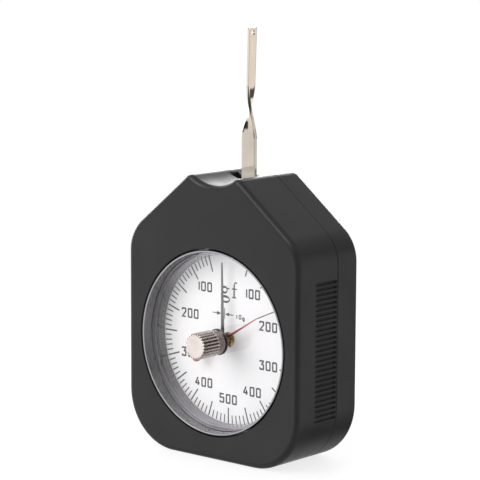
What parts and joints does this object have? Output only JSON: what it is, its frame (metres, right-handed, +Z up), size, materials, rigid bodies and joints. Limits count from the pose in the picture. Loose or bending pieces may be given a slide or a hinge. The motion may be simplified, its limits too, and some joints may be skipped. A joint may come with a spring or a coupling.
{
  "type": "dial force gauge",
  "caption": "Pocket dial force gauge: angular black casing, round two-way dial with load and peak pointers, fluted reset knob and a twisted contact lever standing out of the top.",
  "frame": {"origin": "middle of the flat base under the casing, on the surface the gauge stands on", "axes": "+Z up along the contact lever, the dial faces -Y, +X to the right as the dial is read"},
  "size_m": [0.0658, 0.0341, 0.1252],
  "materials": {
    "black_plastic": "moulded, fine satin",
    "dark_ring": "smooth, slightly glossy",
    "clear_crystal": "clear, polished",
    "dial_white": "matt white with printed scale",
    "nickel": "warm nickel plate, slightly worn",
    "brass": "turned and milled",
    "steel": "turned",
    "pointer_black": "black lacquer",
    "pointer_red": "red lacquer"
  },
  "bodies": {
    "case": {"front_housing": "black_plastic", "rear_cover": "black_plastic", "cover_screw_1": "steel", "cover_screw_2": "steel", "cover_screw_3": "steel", "cover_screw_4": "steel", "bezel_ring": "dark_ring", "crystal": "clear_crystal", "knob_bushing": "dark_ring", "dial_plate": "dial_white", "front_plate": "brass", "back_plate": "brass", "movement_screw_1": "steel", "movement_screw_2": "steel", "movement_screw_3": "steel", "movement_screw_4": "steel", "plate_pillar_1": "brass", "plate_pillar_2": "brass", "plate_pillar_3": "brass", "plate_pillar_4": "brass", "pillar_screw_1": "steel", "pillar_screw_2": "steel", "pillar_screw_3": "steel", "pillar_screw_4": "steel", "lever_bush_front": "brass", "lever_bush_back": "brass", "shaft_bush_front": "brass", "shaft_bush_back": "brass", "stop_pin_right": "steel", "stop_pin_left": "steel", "spring_anchor_right": "steel", "spring_anchor_left": "steel", "hairspring_stud": "steel", "hairspring": "steel"},
    "lever": {"feeler_lever": "nickel", "lever_arbor": "steel", "lever_hub": "brass", "lever_dowel_right": "steel", "lever_dowel_left": "steel", "sector_gear": "brass", "spring_arm": "steel", "ear_pin_right": "steel", "ear_pin_left": "steel", "arbor_nut": "steel", "range_spring_right": "steel", "range_spring_left": "steel"},
    "pointer": {"pointer_shaft": "steel", "pinion": "steel", "hairspring_collet": "brass", "pointer_hub": "brass", "zero_pointer": "pointer_black"},
    "peak": {"reset_knob": "nickel", "knob_spindle": "steel", "friction_washer": "steel", "peak_hub": "brass", "peak_pointer": "pointer_red"}
  },
  "joints": [
    {"name": "lever_swing", "type": "hinge", "parent": "case", "child": "lever", "pos_m": [0, 0, 0.0626], "axis": [0, 1, 0], "range_deg": [-12, 12], "stiffness_Nm_per_rad": 1.43, "deforming": ["range_spring_right", "range_spring_left"]},
    {"name": "pointer_spin", "type": "hinge", "parent": "case", "child": "pointer", "pos_m": [0, 0, 0.0346], "axis": [0, 1, 0], "range_deg": [-181, 181]},
    {"name": "peak_turn", "type": "hinge", "parent": "case", "child": "peak", "pos_m": [0, 0, 0.0346], "axis": [0, 1, 0], "continuous": true}
  ],
  "couplings": [
    {"joint": "pointer_spin", "follows": "lever_swing", "ratio": -15}
  ]
}
